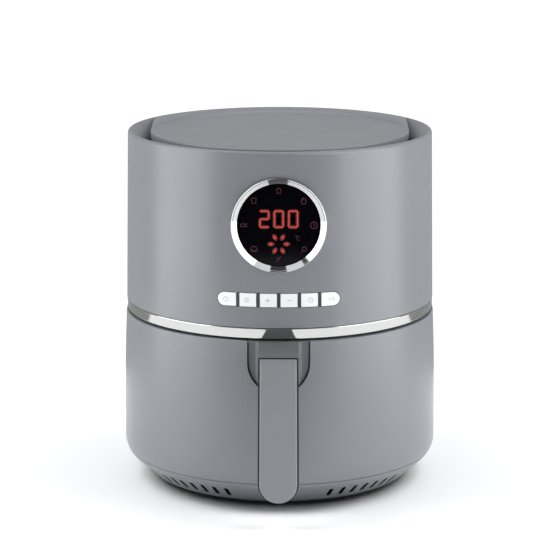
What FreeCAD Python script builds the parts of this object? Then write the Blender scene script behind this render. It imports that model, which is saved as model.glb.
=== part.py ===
"""Round countertop air fryer with a pull-out drawer, modelled in millimetres.

+Z is up, the drawer pulls out towards -Y and +X is on the right seen from the front.
The shapes are made round the housing's own vertical axis and moved at export, so that the
origin ends up on the floor under the middle of the whole machine.
"""
import FreeCAD, Part
import math
import os

# --- driving dimensions -------------------------------------------------------------------
HEIGHT = 304.0            # rim of the housing above the floor
R_RIM = 130.5             # housing radius at the rim
R_MAX = 135.4             # largest radius, low on the drawer
R_DRAWER_TOP = 133.3      # radius at the drawer's top edge
SKIN = 2.6                # wall of the moulded outer shells
Z_DRAWER_TOP = 147.4
Z_BELLY = 50.0            # height where the outer wall is vertical
Z_ARC = 34.5              # height where the lower edge starts to round in
ARC_R = 19.5              # radius of that rounding
SEAM_ANGLE = 27.5         # where the drawer's skin ends on the rounding, degrees
CONE_ANGLE = 48.0         # where the rounding turns into the base cone, degrees
Z_BASE = 4.5              # underside of the base above the floor
Z_DECK = 25.0             # top of the base tray
PARTING_Y = 6.0           # the drawer ends here, just behind the widest line
PARTING_GAP = 1.0
HANDLE_REACH = 176.0      # front of the handle from the housing axis
REAR_REACH = 157.4        # back of the air outlet from the housing axis
AXIS_Y = (HANDLE_REACH - REAR_REACH) / 2

BAND_BOTTOM = 149.3
BAND_TOP = 158.1
SHELL_BOTTOM = 158.6

DISPLAY_Z = 244.0
BEZEL_R = 39.0
GLASS_R = 34.1
BEZEL_FRONT = 133.3       # front plane of the bezel from the axis
BEZEL_FALL = 0.7          # fall of the bezel's inner faces for each millimetre towards the glass
GLASS_DEPTH = 3.0         # face of the glass behind that front plane
GLASS_BACK = 128.0

KEY_Z = 181.85
KEY_HALF = 5.55
KEY_PITCH = 7.32          # degrees round the shell
KEY_GAP = 1.35            # degrees
KEY_ROW_HALF = 50.0       # half the length of the row, seen from the front
KEY_TRAVEL_ROOM = 0.55    # gap round the row of keys
KEY_RIB = 2.0             # width of the ribs that stand between the keys
FRAME_INNER_R = 127.3     # back of the frame that guides the keys
KEY_NAMES = ["key_power", "key_program", "key_plus", "key_minus", "key_timer", "key_start"]

COVER_R = 111.0
COVER_UNDERSIDE = HEIGHT - 5.5
COVER_FACE_Z = HEIGHT - 2.7
FUNNEL_R = 113.5          # inner edge of the funnel that leads air under the cover
FUNNEL_Z = 292.4          # height of that edge
RIM_LIP = 2.6             # width of the rounded rim
LEDGE_Z = 286.0           # ledge inside the shell that carries the intake grille

PAN_Z = 28.5
PAN_R = 103.0
PAN_FLAT_R = 88.0
PAN_FILLET = 12.0
PAN_RIM_R = 108.5
PAN_RIM_Z = 141.0
PAN_WALL = 1.2
LINER_R = 109.5
BAY_R = 111.5

CHAMBER_R = 105.5
SHIELD_R = 109.5
CHAMBER_TOP = 197.0
CHAMBER_FLANGE_Z = 150.2
DECK_Z = 214.0            # motor deck
SHIELD_TOP = 208.0        # top of the outer shield
ELEMENT_Z = 168.0
ELEMENT_TUBE = 3.2
ELEMENT_OUTER = 92.0
ELEMENT_STEP = 6.0
ELEMENT_HALF_TURNS = 5
ELEMENT_BEND = 9.0
ELEMENT_LEG_TOP = 211.0
GUARD_Z = 157.0
GUARD_WIRE = 1.1
SENSOR_Y = 70.0           # the temperature probe stands behind the fan

SHAFT_R = 3.0
SHAFT_LOW = 173.0
SHAFT_HIGH = 268.0
SHAFT_CLEARANCE = 0.05
SHAFT_HOLE_R = 8.0        # holes in the sheet metal round the shaft
MOTOR_HALF_X = 34.0
MOTOR_HALF_Y = 26.0
LOWER_BEARING_Z = 222.0
UPPER_BEARING_Z = 246.0
BEARING_SHEET = 2.0
STATOR_LOW = 227.0
STATOR_HIGH = 243.0
ROTOR_R = 16.5
COIL_HALF_Y = 14.0
COIL_X = (-44.0, -22.0)
BOARD_SHEET = 1.6
SCREW_R = 1.5

GLAND_Z = 58.0
GLAND_R = 7.0
GLAND_BORE_R = 3.8
OUTLET_HALF = 55.0
OUTLET_LOW = 186.0
OUTLET_HIGH = 250.0
OUTLET_WALL = 2.4
PLUNGER_Z = 140.0
PLUNGER_R = 1.5

BOSS_R = 84.0             # circle of the screw bosses under the deck
FOOT_R = 88.0             # circle of the feet
PLATE_TOP = 6.5           # top of the plate that closes the base
SLOT_FIRST = 20.7         # azimuth of the first vent slot, degrees
SLOT_STEP = 5.25
SLOT_COUNT = 7
SLOT_HALF_WIDTH = 2.0
SLOT_HALF_LENGTH = 6.8
SLOT_Z = 12.8

ESCUTCHEON_HALF = 25.9
ESCUTCHEON_Z = 128.9      # centre of the escutcheon's round lower end
ESCUTCHEON_GAP = 1.3
ESCUTCHEON_R = 132.4      # face of the escutcheon from the housing axis
HANDLE_HALF_TOP = 16.2
HANDLE_HALF_END = 16.8
HANDLE_TOP = 143.4
HANDLE_END = 21.0
HANDLE_BACK = 162.0
CAP_BACK = 172.0
CAP_BORDER = 1.4
NECK_FILLET = 3.0

GRID_R = 94.5
GRID_Z = 41.0

UP = FreeCAD.Vector(0, 0, 1)
ORIGIN = FreeCAD.Vector(0, 0, 0)
BIG = 400.0

parts = {}


# --- helpers ------------------------------------------------------------------------------
def vec(x, y, z):
    return FreeCAD.Vector(x, y, z)


def in_radial(point):
    return vec(point[0], 0, point[1])


def in_side(point):
    return vec(0, point[0], point[1])


def in_top(point):
    return vec(point[0], point[1], 0)


def face_of(points, lift):
    """Closed face. An entry is a point, or a (middle, end) pair of points for an arc."""
    edges = []
    current = points[0]
    for entry in points[1:]:
        if isinstance(entry[0], tuple):
            middle, end = entry
            edges.append(Part.Arc(lift(current), lift(middle), lift(end)).toShape())
        else:
            end = entry
            edges.append(Part.LineSegment(lift(current), lift(end)).toShape())
        current = end
    if current != points[0]:
        edges.append(Part.LineSegment(lift(current), lift(points[0])).toShape())
    return Part.Face(Part.Wire(edges))


def revolved(points):
    """Full ring with the given outline of (radius, height) points."""
    return face_of(points, in_radial).revolve(ORIGIN, UP, 360)


def along_x(points, low, high):
    """Prism from an outline of (y, z) points."""
    face = face_of(points, in_side)
    face.translate(vec(low, 0, 0))
    return face.extrude(vec(high - low, 0, 0))


def along_y(points, low, high):
    """Prism from an outline of (x, z) points."""
    face = face_of(points, in_radial)
    face.translate(vec(0, low, 0))
    return face.extrude(vec(0, high - low, 0))


def along_z(points, low, high):
    """Prism from an outline of (x, y) points."""
    face = face_of(points, in_top)
    face.translate(vec(0, 0, low))
    return face.extrude(vec(0, 0, high - low))


def box(x0, x1, y0, y1, z0, z1):
    return Part.makeBox(x1 - x0, y1 - y0, z1 - z0, vec(x0, y0, z0))


def rod(radius, start, end):
    axis = end - start
    return Part.makeCylinder(radius, axis.Length, start, axis)


def tube(outer, inner, z0, z1):
    ring = rod(outer, vec(0, 0, z0), vec(0, 0, z1))
    return ring.cut(rod(inner, vec(0, 0, z0 - 1), vec(0, 0, z1 + 1)))


def polar(radius, azimuth, z):
    """Point at an azimuth in degrees from the front (-Y), turning towards +X."""
    angle = math.radians(azimuth)
    return vec(radius * math.sin(angle), -radius * math.cos(angle), z)


def turned(shape, azimuth):
    copy = shape.copy()
    copy.rotate(ORIGIN, UP, azimuth)
    return copy


def fused(first, *others):
    return first.fuse(list(others)).removeSplitter()


def front_part(shape):
    return shape.common(box(-BIG, BIG, -BIG, PARTING_Y, -BIG, BIG))


def rear_part(shape):
    return shape.common(box(-BIG, BIG, PARTING_Y + PARTING_GAP, BIG, -BIG, BIG))


def group(shapes):
    return Part.makeCompound(list(shapes))


def lying_stadium(half_length, half_height, z_mid):
    """Stadium outline with its round ends at left and right."""
    straight = half_length - half_height
    return [(-straight, z_mid - half_height), (straight, z_mid - half_height),
            ((half_length, z_mid), (straight, z_mid + half_height)),
            (-straight, z_mid + half_height),
            ((-half_length, z_mid), (-straight, z_mid - half_height))]


# --- outer profile ------------------------------------------------------------------------
BELLY_DROP = R_MAX - R_DRAWER_TOP
BELLY_R = ((Z_DRAWER_TOP - Z_BELLY) ** 2 + BELLY_DROP ** 2) / (2 * BELLY_DROP)
ARC_CENTRE_R = R_MAX - ARC_R


def belly(z, inset=0.0):
    """Radius of the outer wall at a height above the belly line."""
    return R_MAX - BELLY_R + math.sqrt(BELLY_R ** 2 - (z - Z_BELLY) ** 2) - inset


def lower_arc(angle, inset=0.0):
    radians = math.radians(angle)
    radius = ARC_R - inset
    return (ARC_CENTRE_R + radius * math.cos(radians), Z_ARC - radius * math.sin(radians))


def arc_angle(z, inset=0.0):
    return math.degrees(math.asin((Z_ARC - z) / (ARC_R - inset)))


R_WAIST = belly(SHELL_BOTTOM)
NECK_ROOT_R = belly(Z_DRAWER_TOP, SKIN) - 0.3


def shell_radius(z):
    """Outer radius of the upper shell, which has a straight draft."""
    return R_WAIST + (R_RIM - R_WAIST) * (z - SHELL_BOTTOM) / (HEIGHT - SHELL_BOTTOM)


def shell_inner(z):
    """Inner radius of the upper shell's wall, which thickens a little towards the waist."""
    low = R_WAIST - SKIN - 1.2
    high = shell_radius(LEDGE_Z - 4) - SKIN
    return low + (high - low) * (z - SHELL_BOTTOM - 6) / (LEDGE_Z - 4 - SHELL_BOTTOM - 6)


def skin_outline(z_top, end_angle, inner_end_angle, top_points):
    """Skin of the lower housing from its top down to the seam, back up on its inner face."""
    middle_z = (z_top + Z_BELLY) / 2
    return top_points + [
        ((belly(middle_z), middle_z), (R_MAX, Z_BELLY)),
        (R_MAX, Z_ARC),
        (lower_arc(end_angle / 2), lower_arc(end_angle)),
        lower_arc(inner_end_angle, SKIN),
        (lower_arc(inner_end_angle / 2, SKIN), (R_MAX - SKIN, Z_ARC)),
        (R_MAX - SKIN, Z_BELLY),
    ]


# --- upper housing ------------------------------------------------------------------------
def make_upper_shell():
    lip = RIM_LIP
    skirt_r = R_WAIST - SKIN - 0.9
    skirt_bottom = BAND_BOTTOM + 0.5
    shell = revolved([
        (R_WAIST, SHELL_BOTTOM),
        (shell_radius(HEIGHT - lip), HEIGHT - lip),
        ((R_RIM - 0.7, HEIGHT - 0.75), (R_RIM - lip, HEIGHT)),
        (FUNNEL_R + 0.6, FUNNEL_Z),
        (FUNNEL_R, FUNNEL_Z - 1.0),
        (FUNNEL_R, FUNNEL_Z - 2.5),
        (R_RIM - lip - 1.6, 300.4),
        (shell_radius(LEDGE_Z) - SKIN, 298.0),
        (shell_radius(LEDGE_Z) - SKIN, LEDGE_Z),
        (shell_radius(LEDGE_Z) - SKIN - 3.5, LEDGE_Z),
        (shell_radius(LEDGE_Z) - SKIN - 3.5, LEDGE_Z - 2),
        (shell_inner(LEDGE_Z - 4), LEDGE_Z - 4),
        (shell_inner(SHELL_BOTTOM + 6), SHELL_BOTTOM + 6),
        (skirt_r - 1.8, SHELL_BOTTOM),
        (skirt_r - 1.8, skirt_bottom),
        (skirt_r, skirt_bottom),
        (skirt_r, SHELL_BOTTOM),
    ])
    display_hole = rod(BEZEL_R + 0.15, vec(0, -BIG, DISPLAY_Z), vec(0, -60, DISPLAY_Z))
    gap = KEY_TRAVEL_ROOM
    key_slot = along_y(lying_stadium(KEY_ROW_HALF + gap, KEY_HALF + gap, KEY_Z), -BIG, -60)
    outlet_window = along_y([(-46, 193), (46, 193), (46, 243), (-46, 243)], 60, BIG)
    return shell.cut([display_hole, key_slot, outlet_window])


def make_top_cover():
    """Dished cover over the air intake. Its rear half runs straight back and banks up to the rim."""
    lip_z = COVER_FACE_Z + 1.6
    skirt_bottom = 290.0
    front = revolved([
        (0, COVER_UNDERSIDE), (COVER_R - 5.6, COVER_UNDERSIDE), (COVER_R - 4.0, skirt_bottom),
        (COVER_R - 1.4, skirt_bottom), (COVER_R, COVER_UNDERSIDE), (COVER_R, lip_z - 1.2),
        ((COVER_R - 0.35, lip_z - 0.35), (COVER_R - 1.2, lip_z)),
        ((COVER_R - 5.2, lip_z - 1.25), (COVER_R - 10, COVER_FACE_Z)), (0, COVER_FACE_Z),
    ]).common(box(-BIG, BIG, -BIG, 0, 0, BIG))
    clearance = 0.25
    funnel_run = (R_RIM - RIM_LIP - FUNNEL_R - 0.6) / (HEIGHT - FUNNEL_Z)
    outer_r = R_RIM - RIM_LIP - clearance
    inner_r = outer_r - (HEIGHT - COVER_UNDERSIDE) * funnel_run
    crease_r = COVER_R - 1.5
    rear = revolved([
        (0, COVER_UNDERSIDE), (inner_r, COVER_UNDERSIDE), (outer_r, HEIGHT), (crease_r + 6.5, HEIGHT - 0.25),
        ((crease_r + 2.8, HEIGHT - 0.9), (crease_r, COVER_FACE_Z)), (0, COVER_FACE_Z),
    ]).common(box(-COVER_R, COVER_R, 0, BIG, 0, BIG))
    return fused(front, rear)


def make_intake_grille():
    """Ring under the funnel's mouth with radial slots and four posts for the cover."""
    ring = tube(shell_radius(LEDGE_Z) - SKIN - 0.3, 98.0, LEDGE_Z, LEDGE_Z + 3)
    slots = []
    for index in range(48):
        slots.append(turned(box(111.5, 123.5, -2.2, 2.2, 285, 290), index * 7.5))
    rim = tube(109.4, 107.2, 289.0, 290.0)
    posts = [rod(5, polar(80, 45 + 90 * k, 280), polar(80, 45 + 90 * k, COVER_UNDERSIDE)) for k in range(4)]
    arms = [turned(box(76, 100, -6, 6, 286, 289), 45 + 90 * k) for k in range(4)]
    return fused(ring.cut(group(slots)), rim, *posts, *arms)


def make_chrome_band():
    top_r = R_WAIST - 0.2
    bottom_r = top_r - 0.55
    inner = R_WAIST - SKIN - 0.9
    ring = revolved([
        (inner, BAND_TOP), (top_r - 0.7, BAND_TOP),
        ((top_r - 0.15, BAND_TOP - 0.2), (top_r, BAND_TOP - 0.8)),
        (bottom_r, BAND_BOTTOM + 0.8),
        ((bottom_r - 0.25, BAND_BOTTOM + 0.2), (bottom_r - 0.8, BAND_BOTTOM)),
        (inner, BAND_BOTTOM),
    ])
    return front_part(ring)


# --- display and keys ---------------------------------------------------------------------
def about_display(points):
    """Ring about the display's axis. Points are (radius, depth from the housing axis)."""
    lifted = face_of([convert(p) for p in points], in_side)
    return lifted.revolve(vec(0, 0, DISPLAY_Z), vec(0, 1, 0), 360)


def convert(entry):
    if isinstance(entry[0], tuple):
        return (convert(entry[0]), convert(entry[1]))
    return (-entry[1], DISPLAY_Z + entry[0])


def make_display_bezel():
    """Ring with a ridge outside, a narrow inner bevel, a small step and a wide bevel down to the glass."""
    back = 121.0
    ridge = BEZEL_R - 0.4
    step = ridge - 0.9
    step_depth = BEZEL_FRONT - (ridge - step) * BEZEL_FALL
    inner = GLASS_R + 0.1
    inner_depth = step_depth - (step - 0.3 - inner) * BEZEL_FALL
    return about_display([
        (BEZEL_R, back), (BEZEL_R, BEZEL_FRONT - 0.5),
        ((BEZEL_R - 0.1, BEZEL_FRONT - 0.12), (ridge, BEZEL_FRONT)),
        (step, step_depth), (step - 0.3, step_depth), (inner, inner_depth),
        (inner, GLASS_BACK), (GLASS_R - 1.6, GLASS_BACK), (GLASS_R - 1.6, back),
    ])


def make_display_glass():
    front = BEZEL_FRONT - GLASS_DEPTH
    return about_display([
        (0, front), (GLASS_R - 0.4, front), (GLASS_R, front - 0.4), (GLASS_R, GLASS_BACK), (0, GLASS_BACK),
    ])


def make_display_module():
    return rod(GLASS_R - 2.0, vec(0, 0.2 - GLASS_BACK, DISPLAY_Z), vec(0, -119.6, DISPLAY_Z))


def make_control_board():
    board = box(-44, 44, -119.6, -118.0, 208, 282)
    tabs = [box(-44, -34, -118, -110, 210, 214), box(34, 44, -118, -110, 210, 214)]
    return fused(board, *tabs)


def make_key_board():
    """Circuit board behind the keys, with a small push switch under each stem."""
    board = box(-54, 54, -112.0, -110.4, 170, 196)
    switches = []
    for index in range(len(KEY_NAMES)):
        x = 113.0 * math.tan(math.radians(key_azimuth(index)))
        switches.append(box(x - 3, x + 3, -113.2, -112.0, KEY_Z - 3, KEY_Z + 3))
    return fused(board, *switches)


def key_azimuth(index):
    """Middle of a key, in degrees from the front. The two end keys reach a little further."""
    return (index - (len(KEY_NAMES) - 1) / 2) * KEY_PITCH


def radial_wedge(low_azimuth, high_azimuth):
    """Wedge of space between two upright planes through the housing axis."""
    far = 300.0
    a = polar(far, low_azimuth, 0)
    b = polar(far, high_azimuth, 0)
    return along_z([(0, 0), (a.x, a.y), (b.x, b.y)], 0, BIG)


def key_band(outer, inner, half_height, half_length):
    """Part of the shell's wall in front of the key row."""
    ring = tube(outer, inner, KEY_Z - half_height, KEY_Z + half_height)
    return ring.common(along_y(lying_stadium(half_length, half_height, KEY_Z), -BIG, -60))


def make_key(index):
    last = len(KEY_NAMES) - 1
    middle = key_azimuth(index)
    half = (KEY_PITCH - KEY_GAP) / 2
    low = -40 if index == 0 else middle - half
    high = 40 if index == last else middle + half
    wedge = radial_wedge(low, high)
    flange_outer = FRAME_INNER_R - 0.4
    flange_inner = flange_outer - 1.4
    cap = key_band(shell_radius(KEY_Z) + 0.5, flange_inner, KEY_HALF, KEY_ROW_HALF).common(wedge)
    flange = key_band(flange_outer, flange_inner, KEY_HALF + 1.3, KEY_ROW_HALF + 0.6).common(wedge)
    end_radius = 115.1 / math.cos(math.radians(middle))
    stem = rod(2.0, polar(end_radius, middle, KEY_Z), polar(flange_inner + 0.5, middle, KEY_Z))
    return fused(cap, flange, stem)


def make_key_frame():
    """Frame behind the shell that guides the keys, with ribs that come forward between them."""
    outer = shell_inner(KEY_Z + 10) - 0.1
    gap = KEY_TRAVEL_ROOM
    plate = tube(outer, FRAME_INNER_R, KEY_Z - 10, KEY_Z + 10).common(radial_wedge(-26, 26))
    window = along_y(lying_stadium(KEY_ROW_HALF + gap, KEY_HALF + gap, KEY_Z), -BIG, -60)
    plate = plate.cut(window)
    rib_half = math.degrees(KEY_RIB / 2 / shell_radius(KEY_Z))
    ribs = []
    for index in range(1, len(KEY_NAMES)):
        azimuth = (index - len(KEY_NAMES) / 2) * KEY_PITCH
        wedge = radial_wedge(azimuth - rib_half, azimuth + rib_half)
        rib_end = KEY_HALF + 0.3
        rib = tube(shell_radius(KEY_Z) - 0.5, FRAME_INNER_R, KEY_Z - rib_end, KEY_Z + rib_end)
        ribs.append(rib.common(wedge))
        bridge = tube(outer, FRAME_INNER_R, KEY_Z - KEY_HALF - 1, KEY_Z + KEY_HALF + 1)
        ribs.append(bridge.common(wedge))
    return fused(plate, *ribs)


# --- rear and base ------------------------------------------------------------------------
def make_rear_shell():
    z_top = BAND_TOP
    end = arc_angle(Z_DECK)
    inner_end = arc_angle(Z_DECK, SKIN)
    outline = skin_outline(z_top, end, inner_end, [(belly(z_top), z_top)])
    middle_z = (z_top + Z_BELLY) / 2
    outline.append(((belly(middle_z, SKIN), middle_z), (belly(z_top, SKIN), z_top)))
    shell = rear_part(revolved(outline))
    gland_hole = rod(GLAND_R, vec(0, 100, GLAND_Z), vec(0, 160, GLAND_Z))
    screw_holes = [rod(1.6, start, end) for start, end in rear_screw_axes()]
    return shell.cut([gland_hole] + screw_holes)


def make_cord_gland():
    wall = R_MAX
    body = rod(GLAND_R, vec(0, wall - 9, GLAND_Z), vec(0, wall + 5, GLAND_Z))
    flange = rod(10.5, vec(0, wall - 0.4, GLAND_Z), vec(0, wall + 2.4, GLAND_Z))
    flange = flange.cut(revolved([(0, 30), (R_MAX, 30), (R_MAX, 90), (0, 90)]))
    nut = rod(10.5, vec(0, wall - 8, GLAND_Z), vec(0, wall - 3.6, GLAND_Z))
    bore = rod(GLAND_BORE_R, vec(0, wall - 20, GLAND_Z), vec(0, wall + 20, GLAND_Z))
    return fused(body, flange, nut).cut(bore)


def rear_screw_axes():
    axes = []
    for azimuth in (125, 235):
        for z in (48.0, 132.0):
            radius = belly(max(z, Z_BELLY))
            axes.append((polar(radius - 12, azimuth, z), polar(radius + 0.2, azimuth, z)))
    return axes


def make_rear_screws():
    screws = []
    for start, end in rear_screw_axes():
        direction = (end - start).normalize()
        shank = rod(1.6, start, end)
        head = Part.makeCone(3.3, 2.6, 1.4, end - direction * 0.1, direction)
        recess = rod(0.9, end + direction * 0.5, end + direction * 2)
        outside = revolved([(0, 0), (R_MAX + 0.05, 0), (R_MAX + 0.05, 200), (0, 200)])
        screws.append(shank.fuse(head.cut(outside)).cut(recess))
    return group(screws)


def rounded_box_outline(half_width, low, high, radius):
    diagonal = radius * (1 - math.sqrt(0.5))
    return [
        (-half_width + radius, low), (half_width - radius, low),
        ((half_width - diagonal, low + diagonal), (half_width, low + radius)),
        (half_width, high - radius),
        ((half_width - diagonal, high - diagonal), (half_width - radius, high)),
        (-half_width + radius, high),
        ((-half_width + diagonal, high - diagonal), (-half_width, high - radius)),
        (-half_width, low + radius),
        ((-half_width + diagonal, low + diagonal), (-half_width + radius, low)),
    ]


def upper_cone(extra):
    """Solid bounded by the upper shell's outer face, moved outwards by a distance."""
    low, high = 150, 300
    return revolved([(0, low), (shell_radius(low) + extra, low), (shell_radius(high) + extra, high), (0, high)])


def make_outlet_housing():
    outer = along_y(rounded_box_outline(OUTLET_HALF, OUTLET_LOW, OUTLET_HIGH, 9), 90, REAR_REACH - 0.01)
    wall = OUTLET_WALL
    inner = along_y(rounded_box_outline(OUTLET_HALF - wall, OUTLET_LOW + wall, OUTLET_HIGH - wall, 7),
                    60, REAR_REACH + 10)
    edges = [edge for edge in outer.Edges if edge.BoundBox.YMin > REAR_REACH - 0.1]
    softened = outer.makeFillet(2.0, edges)
    return softened.cut([inner, upper_cone(0.05)])


def make_outlet_grille():
    wall = OUTLET_WALL
    plate = along_y(rounded_box_outline(OUTLET_HALF - wall, OUTLET_LOW + wall, OUTLET_HIGH - wall, 7),
                    REAR_REACH - 5.0, REAR_REACH - 2.5)
    slots = []
    rows = 9
    pitch = 5.6
    for row in range(rows):
        z = (OUTLET_LOW + OUTLET_HIGH) / 2 + (row - (rows - 1) / 2) * pitch
        for side in (-1, 1):
            slot = along_y(lying_stadium(21.0, 1.5, z), REAR_REACH - 10, REAR_REACH)
            slot.translate(vec(side * 24.5, 0, 0))
            slots.append(slot)
    return plate.cut(group(slots))


def make_base_tray():
    deck_angle = arc_angle(Z_DECK)
    cone_top = lower_arc(CONE_ANGLE)
    slope = math.tan(math.radians(CONE_ANGLE))
    bottom_r = cone_top[0] - (cone_top[1] - Z_BASE) * slope
    wall = 2.4
    shift = wall / math.cos(math.radians(CONE_ANGLE))
    deck_under = Z_DECK - 2.2
    inner_top_r = cone_top[0] + (deck_under - cone_top[1]) * slope - shift
    tray = revolved([
        (0, Z_DECK), lower_arc(deck_angle),
        (lower_arc((deck_angle + CONE_ANGLE) / 2), cone_top),
        (bottom_r, Z_BASE), (bottom_r - shift, Z_BASE),
        (inner_top_r, deck_under), (0, deck_under),
    ])
    bosses = [upright_rod(5.0, spot, PLATE_TOP, deck_under) for spot in boss_spots()]
    pilots = [upright_rod(SCREW_R, spot, 0, 18) for spot in boss_spots()]
    return fused(tray, *bosses).cut(group(pilots + vent_slots()))


def boss_spots():
    return [polar(BOSS_R, 90 * k, 0) for k in range(4)]


def upright_rod(radius, spot, low, high):
    return rod(radius, vec(spot.x, spot.y, low), vec(spot.x, spot.y, high))


def vent_slots():
    """Round-ended slots that lie along the base cone, in a row left and right of the handle."""
    half_width = SLOT_HALF_WIDTH
    half_length = SLOT_HALF_LENGTH
    top_r, top_z = lower_arc(CONE_ANGLE)
    angle = math.radians(CONE_ANGLE)
    radius = top_r - (top_z - SLOT_Z) * math.tan(angle)
    down = vec(0, math.sin(angle), -math.cos(angle))
    outward = vec(0, -math.cos(angle), -math.sin(angle))
    straight = half_length - half_width
    outline = [(-half_width, -straight), ((0, -half_length), (half_width, -straight)),
               (half_width, straight), ((0, half_length), (-half_width, straight))]
    tool = along_z(outline, -6, 4)
    rotation = FreeCAD.Rotation(vec(1, 0, 0), down, outward, "ZXY")
    tool.Placement = FreeCAD.Placement(vec(0, -radius, SLOT_Z), rotation)
    slots = []
    for step in range(SLOT_COUNT):
        for side in (-1, 1):
            slots.append(turned(tool, side * (SLOT_FIRST + step * SLOT_STEP)))
    return slots


def make_base_plate():
    plate = rod(107.6, vec(0, 0, Z_BASE), vec(0, 0, PLATE_TOP))
    holes = [upright_rod(SCREW_R, spot, 0, 10) for spot in boss_spots()]
    for index in range(24):
        holes.append(turned(box(48, 66, -1.6, 1.6, 0, 10), 7.5 + index * 15))
    return plate.cut(group(holes))


def make_base_screws():
    screws = []
    for spot in boss_spots():
        shank = upright_rod(SCREW_R, spot, Z_BASE, 16)
        head = upright_rod(3.0, spot, Z_BASE - 1.8, Z_BASE)
        recess = upright_rod(1.0, spot, 0, Z_BASE - 0.8)
        screws.append(shank.fuse(head).cut(recess))
    return group(screws)


def make_rubber_feet():
    feet = []
    for k in range(4):
        azimuth = 45 + 90 * k
        cone = Part.makeCone(8.5, 10.0, Z_BASE, polar(FOOT_R, azimuth, 0), UP)
        feet.append(cone)
    return group(feet)


def make_drawer_bay():
    """Half-round wall behind the pan with a front flange that closes the rear housing."""
    wall = rear_part(tube(BAY_R + 1.2, BAY_R, Z_DECK, CHAMBER_FLANGE_Z))
    flange_r = lower_arc(arc_angle(Z_DECK, SKIN), SKIN)[0] - 0.2
    flange = tube(flange_r, BAY_R, Z_DECK, BAND_BOTTOM + 0.4)
    flange_y = PARTING_Y + PARTING_GAP
    flange = flange.common(box(-BIG, BIG, flange_y, flange_y + 1.4, 0, BIG))
    plunger_hole = rod(2.2, vec(0, 100, PLUNGER_Z), vec(0, 130, PLUNGER_Z))
    return fused(wall, flange).cut(plunger_hole)


def make_glide_strips():
    strips = [box(side * 60 - 4, side * 60 + 4, -60, 60, Z_DECK, PAN_Z - 0.3) for side in (-1, 1)]
    return group(strips)


def make_interlock_switch():
    body = box(-10, 10, BAY_R + 1.3, 126, 134, 146)
    bore = rod(PLUNGER_R + SHAFT_CLEARANCE, vec(0, 100, PLUNGER_Z), vec(0, 121.5, PLUNGER_Z))
    terminals = [box(x - 1, x + 1, 118, 120, 127, 134) for x in (-6, 0, 6)]
    return fused(body.cut(bore), *terminals)


def make_interlock_plunger():
    shank = rod(PLUNGER_R, vec(0, PAN_RIM_R + 1.4, PLUNGER_Z), vec(0, 120.6, PLUNGER_Z))
    tip = Part.makeSphere(PLUNGER_R, vec(0, PAN_RIM_R + 1.9, PLUNGER_Z))
    return shank.fuse(tip)


# --- heating chamber ----------------------------------------------------------------------
def spiral_half_turns():
    """Centre, radius and side of each half circle of the flat spiral, from the outside in."""
    turns = []
    radius = ELEMENT_OUTER
    centre = 0.0
    side = 1
    for _ in range(ELEMENT_HALF_TURNS):
        turns.append((centre, radius, side))
        centre = centre - side * ELEMENT_STEP
        radius = radius - ELEMENT_STEP
        side = -side
    return turns


def element_leg_spots():
    """Where the element's two upright legs stand, as (x, y)."""
    centre, radius, side = spiral_half_turns()[-1]
    return [(ELEMENT_OUTER, -ELEMENT_BEND), (centre - side * radius, -ELEMENT_BEND)]


def make_heat_shield():
    """Heating chamber: an upside-down bowl with a flange, holes for the shaft and the element."""
    wall = 1.0
    shield = revolved([
        (0, CHAMBER_TOP), (CHAMBER_R - 6, CHAMBER_TOP),
        ((CHAMBER_R - 1.76, CHAMBER_TOP - 1.76), (CHAMBER_R, CHAMBER_TOP - 6)),
        (CHAMBER_R, CHAMBER_FLANGE_Z + wall), (127.0, CHAMBER_FLANGE_Z + wall),
        (127.0, CHAMBER_FLANGE_Z), (CHAMBER_R, CHAMBER_FLANGE_Z),
        (CHAMBER_R, PAN_RIM_Z + 2), (CHAMBER_R - wall, PAN_RIM_Z + 2),
        (CHAMBER_R - wall, CHAMBER_TOP - 6),
        ((CHAMBER_R - wall - 1.46, CHAMBER_TOP - wall - 1.46), (CHAMBER_R - 6, CHAMBER_TOP - wall)),
        (0, CHAMBER_TOP - wall),
    ])
    holes = [rod(SHAFT_HOLE_R, vec(0, 0, 190), vec(0, 0, 200))]
    for x, y in element_leg_spots():
        holes.append(rod(ELEMENT_TUBE + 1.8, vec(x, y, 190), vec(x, y, 200)))
    holes.append(rod(2.6, vec(0, SENSOR_Y, 190), vec(0, SENSOR_Y, 200)))
    return shield.cut(group(holes))


def make_outer_shield():
    wall = 0.8
    outer = SHIELD_R
    top = SHIELD_TOP
    shield = revolved([
        (0, top), (outer, top), (outer, CHAMBER_FLANGE_Z + 1), (outer - wall, CHAMBER_FLANGE_Z + 1),
        (outer - wall, top - wall), (0, top - wall),
    ])
    holes = [rod(SHAFT_HOLE_R, vec(0, 0, 200), vec(0, 0, 212))]
    for x, y in element_leg_spots():
        holes.append(rod(ELEMENT_TUBE + 2.8, vec(x, y, 200), vec(x, y, 212)))
    holes.append(rod(3.4, vec(0, SENSOR_Y, 200), vec(0, SENSOR_Y, 212)))
    return shield.cut(group(holes))


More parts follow.
